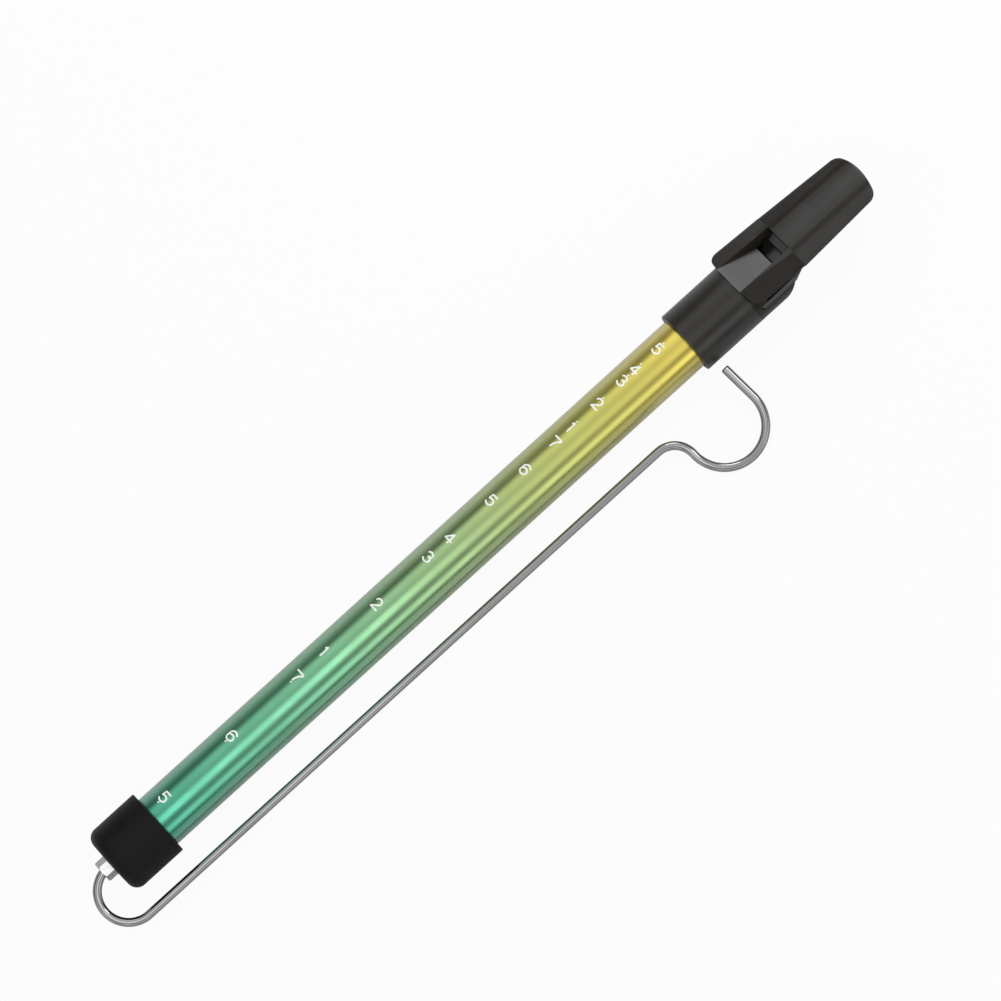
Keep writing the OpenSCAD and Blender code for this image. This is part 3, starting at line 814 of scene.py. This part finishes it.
# %% [markdown]
# The fipple block is the separate piece under the windway. It is a plain bar with its front end
# bevelled, pushed in from the tip, and the bevel shows as a lighter bar inside the window.

# %% The fipple block
BLOCK_FRONT, BLOCK_BACK = ROOF_X - 1.85, TIP_X - 1.0
BLOCK_BEVEL = 1.1
BLOCK_HALF = WINDWAY_HALF - SEAT_GAP / MM
BLOCK_EASE = 0.12
side_view = np.array([
    (BLOCK_FRONT, BLOCK_UNDER), (BLOCK_FRONT, WINDWAY_FLOOR - BLOCK_BEVEL),
    (BLOCK_FRONT + 2 * BLOCK_BEVEL, WINDWAY_FLOOR), (BLOCK_BACK, WINDWAY_FLOOR),
    (BLOCK_BACK, BLOCK_UNDER),
])
block_v = np.array([-BLOCK_HALF, -BLOCK_HALF + BLOCK_EASE, BLOCK_HALF - BLOCK_EASE, BLOCK_HALF])
inset = np.array([BLOCK_EASE, 0, 0, BLOCK_EASE])[:, None, None]
shrunk = side_view - np.sign(side_view - side_view.mean(0)) * inset
across = np.broadcast_to(block_v[:, None], shrunk.shape[:2])
rings = np.stack([shrunk[..., 0], across, shrunk[..., 1]], -1)
rings = ease_corners(rings, np.full(len(side_view), BLOCK_EASE), 4)
block = head_part("windway_block", rings)
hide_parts("fipple_block")
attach(block, "whistle_body")
print("block faces", len(block.data.polygons))

# %% [markdown]
# The camera stands where the photograph's did. It looks squarely at the plane of the bent rod,
# leaning three degrees towards the cap, and the tube climbs the picture at 42 degrees. A long
# lens keeps the tube's two edges parallel, as they are in the photograph.

# %% The camera
LEAN = math.radians(3.0)
CLIMB = math.radians(42.25)
PICTURE_SPAN = 273.8 * MM
AIM = ALONG * 30.9 * MM - ROD_OUT * 2.1 * MM
LENS = 300.0
SENSOR = 36.0
SEES_TO = 50.0

view_dir = ROD_UP * math.cos(LEAN) - ALONG * math.sin(LEAN)
tube_dir = ALONG * math.cos(LEAN) + ROD_UP * math.sin(LEAN)
picture_right = tube_dir * math.cos(CLIMB) + ROD_OUT * math.sin(CLIMB)
picture_up = tube_dir * math.sin(CLIMB) - ROD_OUT * math.cos(CLIMB)

camera = bpy.data.objects.new("camera", bpy.data.cameras.new("camera"))
camera.data.lens = LENS
camera.data.sensor_width = SENSOR
distance = PICTURE_SPAN * LENS / SENSOR
placed = Matrix(np.stack([picture_right, picture_up, view_dir], axis=1).tolist()).to_4x4()
placed.translation = Vector(AIM + view_dir * distance)
camera.matrix_world = placed
camera.data.clip_end = SEES_TO
bpy.context.scene.collection.objects.link(camera)
bpy.context.scene.camera = camera
bpy.context.scene.view_settings.view_transform = "Standard"
print("camera distance, m:", round(distance, 3))

# %% [markdown]
# The floor is a large pale sheet at the height that the whistle rests on.

# %% The floor
FLOOR_HALF = 6.0
corners = np.array([[-1, -1, 0], [1, -1, 0], [1, 1, 0], [-1, 1, 0]]) * FLOOR_HALF
floor_mesh = bpy.data.meshes.new("floor")
floor_mesh.from_pydata((corners + np.array([0, 0, TABLE])).tolist(), [], [[0, 1, 2, 3]])
floor = bpy.data.objects.new("floor", floor_mesh)
bpy.context.scene.collection.objects.link(floor)
print("floor at, mm:", round(TABLE / MM, 2))


# %% [markdown]
# A finish is a small tree of shader nodes. It could be wired by hand in the editor, but then it
# can't be read or changed here. A few helpers make each node one line: they add it, and fill its
# sockets with numbers, colours or links.


# %% Small helpers for materials
def new_material(name):
    """An empty node material and its tree."""
    material = bpy.data.materials.new(name)
    material.use_nodes = True
    material.node_tree.nodes.clear()
    return material, material.node_tree


def node(tree, kind, settings=None, **sockets):
    """One shader node. A socket is given by its name, or by an underscore and its number. It
    takes a number, a colour of three numbers, a socket, or a node, whose first output it is."""
    made_node = tree.nodes.new("ShaderNode" + kind)
    for key, value in (settings or {}).items():
        setattr(made_node, key, value)
    for key, value in sockets.items():
        name = key.replace("_", " ")
        found = made_node.inputs[name if name in made_node.inputs else int(key[1:])]
        value = value.outputs[0] if isinstance(value, bpy.types.Node) else value
        if isinstance(value, bpy.types.NodeSocket):
            tree.links.new(value, found)
        else:
            found.default_value = (*value, 1.0) if found.type == "RGBA" else value
    return made_node


def calc(tree, operation, *values):
    """A Math node over numbers or sockets."""
    sockets = {f"_{n}": value for n, value in enumerate(values)}
    return node(tree, "Math", {"operation": operation}, **sockets).outputs[0]


def part_along(tree, vector, direction):
    """How far a vector reaches along a direction: their dot product."""
    return node(tree, "VectorMath", {"operation": "DOT_PRODUCT"}, _0=vector,
                _1=tuple(direction)).outputs["Value"]


def ramp(tree, position, stops):
    """A Color Ramp over position, with stops of (place, colour) or (place, grey level)."""
    made_node = node(tree, "ValToRGB", Fac=position)
    elements = made_node.color_ramp.elements
    while len(elements) > 1:
        elements.remove(elements[-1])
    for n, (place, colour) in enumerate(stops):
        element = elements[0] if n == 0 else elements.new(place)
        element.position = place
        element.color = (*(colour if isinstance(colour, tuple) else (colour,) * 3), 1.0)
    return made_node.outputs["Color"]


# %% [markdown]
# The floor's own colour is a plain pale white. Seen straight by the camera most of it glows, so
# that the paper white of the picture doesn't need more lamps, and the rest still takes the
# whistle's soft shadow. In the tube and the steel it is mirrored as it is lit, which is greyer.

# %% The floor's material
PAPER, GLOW_SHARE = (0.7, 0.7, 0.7), 0.93
floor_material, tree = new_material("pale floor")
seen = node(tree, "LightPath")
straight = calc(tree, "MAXIMUM", seen.outputs["Is Camera Ray"],
                seen.outputs["Is Transmission Ray"])
share = calc(tree, "MULTIPLY", straight, GLOW_SHARE)
paper = node(tree, "BsdfDiffuse", Color=PAPER)
glow = node(tree, "Emission", Color=(1, 1, 1), Strength=1.0)
mixed = node(tree, "MixShader", _0=share, _1=paper, _2=glow)
node(tree, "OutputMaterial", Surface=mixed)
floor_mesh.materials.append(floor_material)

# %% [markdown]
# The light is a white tent with soft strips in it. Because the tube is a mirror of low order, each
# line of light along it shows one strip of the tent, at twice the tilt of the surface there. So
# the world is written as brightness against the angle about X, measured from the rod's plane.
# Toward the tent's two ends the walls are nearer and brighter, which the bends of the wire show.

# %% The tent
TENT = [
    (-130, 0.6), (-100, 0.6), (-88, 0.42), (-75, 0.2), (-66, 0.26), (-56, 0.88), (-48, 1.18),
    (-38, 1.12), (-24, 0.88), (-15, 0.8), (-7, 0.87), (2, 1.05), (10, 1.1), (17, 0.95),
    (24, 0.42), (33, 0.4), (40, 0.9), (47, 1.58), (57, 1.62), (65, 0.5), (73, 0.12), (100, 0.12),
]
ENDS = [(-0.97, 1.3), (-0.8, 0.6), (-0.62, 1.1), (-0.38, 0.75), (-0.2, 1.0), (0.2, 1.0),
        (0.35, 1.2), (0.5, 1.3), (0.75, 0.9), (0.95, 0.2)]
TENT_SCALE, ENDS_SCALE = 2.0, 2.5
world = bpy.data.worlds.new("soft tent")
bpy.context.scene.world = world
world.use_nodes = True
tree = world.node_tree
tree.nodes.clear()
way = node(tree, "TexCoord").outputs["Generated"]
turn = calc(tree, "ARCTAN2", part_along(tree, way, ROD_OUT), part_along(tree, way, ROD_UP))
place = calc(tree, "MULTIPLY_ADD", turn, 1 / (2 * math.pi), 0.5)
tent = ramp(tree, place, [(angle / 360 + 0.5, level / TENT_SCALE) for angle, level in TENT])
place = calc(tree, "MULTIPLY_ADD", part_along(tree, way, ALONG), 0.5, 0.5)
ends = ramp(tree, place, [(x / 2 + 0.5, level / ENDS_SCALE) for x, level in ENDS])
strength = calc(tree, "MULTIPLY", ends, TENT_SCALE * ENDS_SCALE)
seen = node(tree, "LightPath")
lit = node(tree, "Background", Color=tent, Strength=strength)
plain = node(tree, "Background", Color=(1, 1, 1), Strength=1.0)
mixed = node(tree, "MixShader", _0=seen.outputs["Is Camera Ray"], _1=lit, _2=plain)
node(tree, "OutputWorld", Surface=mixed)
print("tent strips", len(TENT), "and end stops", len(ENDS))

# %% [markdown]
# A few lamps join the tent. A narrow strip hangs over the cap's half of the tube, where the
# photograph's brightest line is. A square softbox stands past the head, on the window's side, and
# lights the ramp, and a small card beside it lightens the top of the beak. A long lamp high over
# the head's end draws the white streak in the pointer of the wire. Each is given as a brightness,
# and its power follows from its area.


# %% The lamps
def soft_lamp(name, aim, way, distance, length, width, level):
    """A rectangular lamp at aim + way * distance, facing aim, with its length across X. Power is
    pi times area times level, where a level of 1 is as bright as white paper."""
    data = bpy.data.lights.new(name, "AREA")
    data.shape = "RECTANGLE"
    data.size, data.size_y = length, width
    data.energy = math.pi * length * width * level
    lamp = bpy.data.objects.new(name, data)
    way = way / np.linalg.norm(way)
    across = ALONG - way * way[0]
    across /= np.linalg.norm(across)
    turned_to = np.stack([across, np.cross(way, across), way], axis=1)
    lamp.matrix_world = Matrix(turned_to.tolist()).to_4x4()
    lamp.location = Vector(aim + way * distance)
    lamp.visible_camera = False
    bpy.context.scene.collection.objects.link(lamp)


STRIP_TILT = math.radians(1)
strip_way = ROD_UP * math.cos(STRIP_TILT) + ROD_OUT * math.sin(STRIP_TILT)
soft_lamp("strip", ALONG * -0.31, strip_way,
          distance=1.5, length=0.74, width=0.62, level=1.1)
soft_lamp("softbox", ALONG * 0.13, np.array([0.55, 0.65, 0.53]),
          distance=0.6, length=0.3, width=0.3, level=2.9)
soft_lamp("card", ALONG * 0.16, np.array([0.13, 0.74, 0.66]),
          distance=0.15, length=0.1, width=0.06, level=0.7)
soft_lamp("end light", ALONG * 0.1, ROD_UP * 0.743 + ALONG * 0.669,
          distance=2.0, length=1.3, width=0.3, level=2.4)

# %% [markdown]
# No real surface is one flat colour. Handling leaves soft smudges, moulding or blasting leaves a
# grain, and drawing or turning leaves fine lines. All finishes share these, so they are one node
# group with its own sizes as inputs, and each material takes as much of each as it needs. The
# group puts out masks only, and the shader with its plain numbers stays in the material.

# %% The shared surface marks
SMUDGE_FROM, SMUDGE_TO = 0.38, 0.66
GRAIN_DETAIL, SOFT_DETAIL, SOFT_TWIST = 3.0, 4.0, 0.6


def marks_group():
    """Grain: fine noise. Smudge: soft large noise, brought to 0 to 1 between its two levels.
    Streak: noise on a place that is stretched by its own factor along each axis."""
    group = bpy.data.node_groups.new("surface marks", "ShaderNodeTree")
    for way, kind, names in (("INPUT", "Vector", ("Place", "Streak Place", "Stretch")),
                             ("INPUT", "Float", ("Grain Scale", "Smudge Scale")),
                             ("OUTPUT", "Float", ("Grain", "Smudge", "Streak"))):
        for name in names:
            group.interface.new_socket(name=name, in_out=way, socket_type="NodeSocket" + kind)
    given = group.nodes.new("NodeGroupInput").outputs
    grain = node(group, "TexNoise", Vector=given["Place"], Scale=given["Grain Scale"],
                 Detail=GRAIN_DETAIL)
    soft = node(group, "TexNoise", Vector=given["Place"], Scale=given["Smudge Scale"],
                Detail=SOFT_DETAIL, Distortion=SOFT_TWIST)
    smudge = node(group, "MapRange", {"interpolation_type": "SMOOTHSTEP"},
                  _0=soft, _1=SMUDGE_FROM, _2=SMUDGE_TO)
    pulled = node(group, "VectorMath", {"operation": "MULTIPLY"},
                  _0=given["Streak Place"], _1=given["Stretch"])
    streak = node(group, "TexNoise", Vector=pulled, Scale=1.0, Detail=SOFT_DETAIL)
    put = group.nodes.new("NodeGroupOutput").inputs
    for name, made_node in (("Grain", grain), ("Smudge", smudge), ("Streak", streak)):
        group.links.new(made_node.outputs[0], put[name])
    return group


SURFACE_MARKS = marks_group()


def marked(tree, streak_place, grain, smudge, stretch):
    """The group placed in a material, with the sizes that this finish has."""
    places = node(tree, "TexCoord").outputs
    return node(tree, "Group", {"node_tree": SURFACE_MARKS}, Place=places["Object"],
                Streak_Place=places[streak_place], Grain_Scale=grain, Smudge_Scale=smudge,
                Stretch=stretch).outputs


def mixed_colour(tree, factor, a, b):
    """Colour a where the factor is 0 and colour b where it is 1. Each is a socket or a colour."""
    return node(tree, "Mix", {"data_type": "RGBA"}, _0=factor, _6=a, _7=b).outputs[2]


def swing(tree, factor, low, high):
    """Low where the factor is 0 and high where it is 1."""
    return calc(tree, "MULTIPLY_ADD", factor, high - low, low)


print("surface marks:", len(SURFACE_MARKS.nodes), "nodes")

# %% [markdown]
# Every finish is one gloss shader with a little life in its colour, its roughness and its surface.
# That could be written out for each piece, but the wiring is always the same. So one function
# makes a whole material, and a finish is then one call with its own colours and sizes.

# %% A whole finish
BUMP_DEEP = 0.02 * MM


def finish_of(name, light, dark, rough, metallic=0.0, grain=2500.0, smudge=60.0,
              stretch=None, bump=0.1, bump_deep=BUMP_DEEP, streak_place="Object",
              paint=mixed_colour, **sockets):
    """A whole material. paint makes the colour from the smudges, the light colour and the dark
    one. The smudges also move the roughness between its two values, and the grain, or the
    streaks where stretch is given, make the bump. A socket's value may be a function of the
    tree, for one that changes over the piece."""
    material, tree = new_material(name)
    marks = marked(tree, streak_place, grain, smudge, stretch or (1.0, 1.0, 1.0))
    height = marks["Streak"] if stretch else marks["Grain"]
    raised = node(tree, "Bump", Strength=bump, Distance=bump_deep, Height=height)
    sockets = {key: value(tree) if callable(value) else value for key, value in sockets.items()}
    shader = node(tree, "BsdfPrincipled", Metallic=metallic, Normal=raised,
                  Base_Color=paint(tree, marks["Smudge"], light, dark),
                  Roughness=swing(tree, marks["Smudge"], *rough), **sockets)
    node(tree, "OutputMaterial", Surface=shader)
    return material


def wear(piece, material):
    """The piece's one material. A Boolean leaves an empty slot behind, so the slots are cleared."""
    piece.data.materials.clear()
    piece.data.materials.append(material)


def wear_node(name, material):
    """A CAD node keeps its mesh, and only its material slots are filled anew."""
    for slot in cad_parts[name].material_slots:
        slot.material = material


# %% [markdown]
# Anodising gives the aluminium a clear coloured skin. The tube was dipped so that its colour runs
# from teal at the cap through green to yellow gold at the head. Under the colour the metal still
# shines, with faint lines along the tube from drawing. Where the surface turns away from the eye,
# a grey is mixed into the colour: a painted sheen that stands in for the skin's grazing reflection.

# %% The anodised tube
DIP = [
    (0.0, (0.088, 0.395, 0.270)), (0.33, (0.195, 0.475, 0.275)), (0.6, (0.36, 0.495, 0.225)),
    (0.8, (0.53, 0.545, 0.155)), (1.0, (0.68, 0.55, 0.115)),
]
# The grey below is a painted sheen, mixed into the tube's colour where it turns away from the eye.
PAINTED_SHEEN_GREY, SHEEN_SHARE = (0.62, 0.62, 0.6), 0.34
SHEEN_FROM, SHEEN_TO = 0.2, 0.6
SMUDGE_VALUE = 0.95


def dip_colour(tree, smudge, stops, sheen_grey):
    """The dip's colour at the distance x along the tube, a little deeper under smudges, and mixed
    with a painted sheen grey by how far the surface turns away from the eye."""
    x = part_along(tree, node(tree, "TexCoord").outputs["Object"], ALONG)
    share = node(tree, "MapRange", _0=x, _1=CAP_RIM, _2=HEAD_RIM)
    tint = ramp(tree, share, stops)
    deeper = node(tree, "HueSaturation", Color=tint, Value=SMUDGE_VALUE)
    smudged = mixed_colour(tree, smudge, tint, deeper)
    # Painted sheen: the facing mask greys the colour towards the tube's edges, in place of a
    # reflection.
    facing = node(tree, "LayerWeight", Blend=0.5).outputs["Facing"]
    painted_sheen = node(tree, "MapRange", _0=facing, _1=SHEEN_FROM, _2=SHEEN_TO, _3=0.0,
                _4=SHEEN_SHARE)
    return mixed_colour(tree, painted_sheen, smudged, sheen_grey)


wear(tube, finish_of("anodised aluminium", DIP, PAINTED_SHEEN_GREY, (0.2, 0.26), metallic=1.0, smudge=45.0,
                     stretch=(12.0, 1500.0, 1500.0), bump=0.12, paint=dip_colour))
print("colours along the tube", len(DIP))

# %% [markdown]
# The head is satin black plastic, but not all of it shines alike. The tops of the ears are duller,
# and a duller line along each side of the beak's crown is painted shade for the crease there. These
# places could be painted by hand, but the head's own sizes tell where they are, so the shine is
# worked out from the place along X and to the side.

# %% The shine of the head
PLAIN_SHINE, EAR_SHINE = 0.5, 0.22
LAND_HALF, LAND_SPREAD = 5.3, 0.086
LINE_SIDE, LINE_HALF, CREASE_SHADE_DULL = 5.0, 1.5, 0.8
PAST_EDGE = 0.1


def shine_and_crease_shade(tree):
    """The ears' tops are where the side is past a line that begins at LAND_HALF and spreads by
    LAND_SPREAD, from the shoulder to the roof. The painted crease shade lies where the side is near
    LINE_SIDE on the beak. There the shine falls from PLAIN_SHINE towards EAR_SHINE."""
    here = node(tree, "TexCoord").outputs["Object"]
    x = part_along(tree, here, ALONG)
    side = calc(tree, "ABSOLUTE", part_along(tree, here, WINDOW_SIDE))
    past_land = calc(tree, "SUBTRACT", x, HEAD_RIM + EAR_TOP[0][1] * MM)
    past_land = calc(tree, "MAXIMUM", past_land, 0.0)
    land = calc(tree, "MULTIPLY_ADD", past_land, LAND_SPREAD, LAND_HALF * MM)
    past_shoulder = calc(tree, "GREATER_THAN", x, HEAD_RIM + (WING_START + PAST_EDGE) * MM)
    before_roof = calc(tree, "LESS_THAN", x, HEAD_RIM + ROOF_X * MM)
    ears = calc(tree, "MULTIPLY", calc(tree, "GREATER_THAN", side, land), past_shoulder)
    ears = calc(tree, "MULTIPLY", ears, before_roof)
    # Painted shade: a duller line along each side of the beak, standing in for the crease's shade.
    off_line = calc(tree, "ABSOLUTE", calc(tree, "SUBTRACT", side, LINE_SIDE * MM))
    crease_shade = node(tree, "MapRange", {"interpolation_type": "SMOOTHSTEP"}, _0=off_line,
                  _1=0.0, _2=LINE_HALF * MM, _3=CREASE_SHADE_DULL, _4=0.0)
    on_beak = calc(tree, "GREATER_THAN", x, HEAD_RIM + (ROOF_X + PAST_EDGE) * MM)
    return swing(tree, calc(tree, "MULTIPLY_ADD", crease_shade, on_beak, ears), PLAIN_SHINE, EAR_SHINE)


wear(head, finish_of("satin black plastic", (0.0085, 0.007, 0.0055), (0.012, 0.0102, 0.008),
                     (0.26, 0.35), grain=3500.0, smudge=70.0, bump=0.25,
                     Specular_IOR_Level=shine_and_crease_shade))
print("shine, plain and dull:", PLAIN_SHINE, EAR_SHINE)

# %% [markdown]
# The ink is a matt white that has worn a little thin. The block is a paler and the cap a duller
# black than the head. The steel is drawn wire, so its marks run along it, by the texture
# coordinate that the wire keeps. The bush is turned, and brighter.

# %% Ink, plastic and steel
wear(ink, finish_of("white ink", (0.92, 0.93, 0.89), (0.82, 0.84, 0.80), (0.4, 0.5),
                    grain=6000.0, smudge=900.0))
wear(block, finish_of("block plastic", (0.06, 0.06, 0.056), (0.066, 0.066, 0.062), (0.38, 0.46),
                      grain=3500.0, bump=0.25))
wear(cap, finish_of("dull black plastic", (0.0022, 0.0022, 0.002), (0.0032, 0.0032, 0.0028),
                    (0.46, 0.56), grain=4200.0, smudge=80.0, bump=0.3,
                    Specular_IOR_Level=0.16))
wear(rod, finish_of("drawn steel wire", (0.33, 0.33, 0.335), (0.29, 0.29, 0.295), (0.08, 0.13),
                    metallic=1.0, smudge=30.0, stretch=(70.0, 8.0, 1.0), bump=0.004,
                    streak_place="UV"))
wear(bush, finish_of("bright turned steel", (0.48, 0.485, 0.49), (0.42, 0.425, 0.43),
                     (0.14, 0.2), metallic=1.0, smudge=400.0, grain=5000.0, bump=0.05))
print("dressed:", [piece.name for piece in (tube, head, ink, block, cap, rod, bush)])

# %% [markdown]
# The small pieces inside the tube keep their CAD shape. Most can be seen only when the slide is
# out or through the window, but each still has a finish of its own: wool felt, a turned plastic
# core, rubber rings, a brass nut and plain steel.

# %% The pieces inside
FELT_DEEP = 0.2 * MM
wear_node("felt_bumper", finish_of("wool felt", (0.30, 0.035, 0.03), (0.17, 0.02, 0.02), (0.9, 1.0),
                                   grain=2600.0, smudge=1500.0, bump=1.0, bump_deep=FELT_DEEP))
wear_node("piston_core", finish_of("turned plastic", (0.72, 0.71, 0.66), (0.62, 0.61, 0.57),
                                   (0.3, 0.4), smudge=120.0, stretch=(9000.0, 40.0, 40.0),
                                   bump=0.2))
rubber = finish_of("ring rubber", (0.014, 0.014, 0.014), (0.024, 0.024, 0.023), (0.5, 0.7),
                   grain=5200.0, smudge=300.0, bump=0.3)
plain_steel = finish_of("plain washer steel", (0.5, 0.5, 0.49), (0.4, 0.4, 0.39), (0.28, 0.4),
                        metallic=1.0, smudge=300.0, stretch=(200.0, 4000.0, 4000.0), bump=0.15)
clip_steel = finish_of("oiled spring steel", (0.16, 0.15, 0.14), (0.09, 0.085, 0.08), (0.3, 0.42),
                       metallic=1.0, smudge=350.0, bump=0.15)
brass = finish_of("brass bar", (0.72, 0.53, 0.24), (0.6, 0.42, 0.17), (0.22, 0.34),
                  metallic=1.0, smudge=260.0, stretch=(6000.0, 300.0, 300.0), bump=0.15)
for name, material in (("front_seal", rubber), ("rear_seal", rubber), ("front_washer", plain_steel),
                       ("rear_washer", plain_steel), ("retaining_ring", clip_steel),
                       ("piston_nut", brass)):
    wear_node(name, material)
print("materials", len(bpy.data.materials))
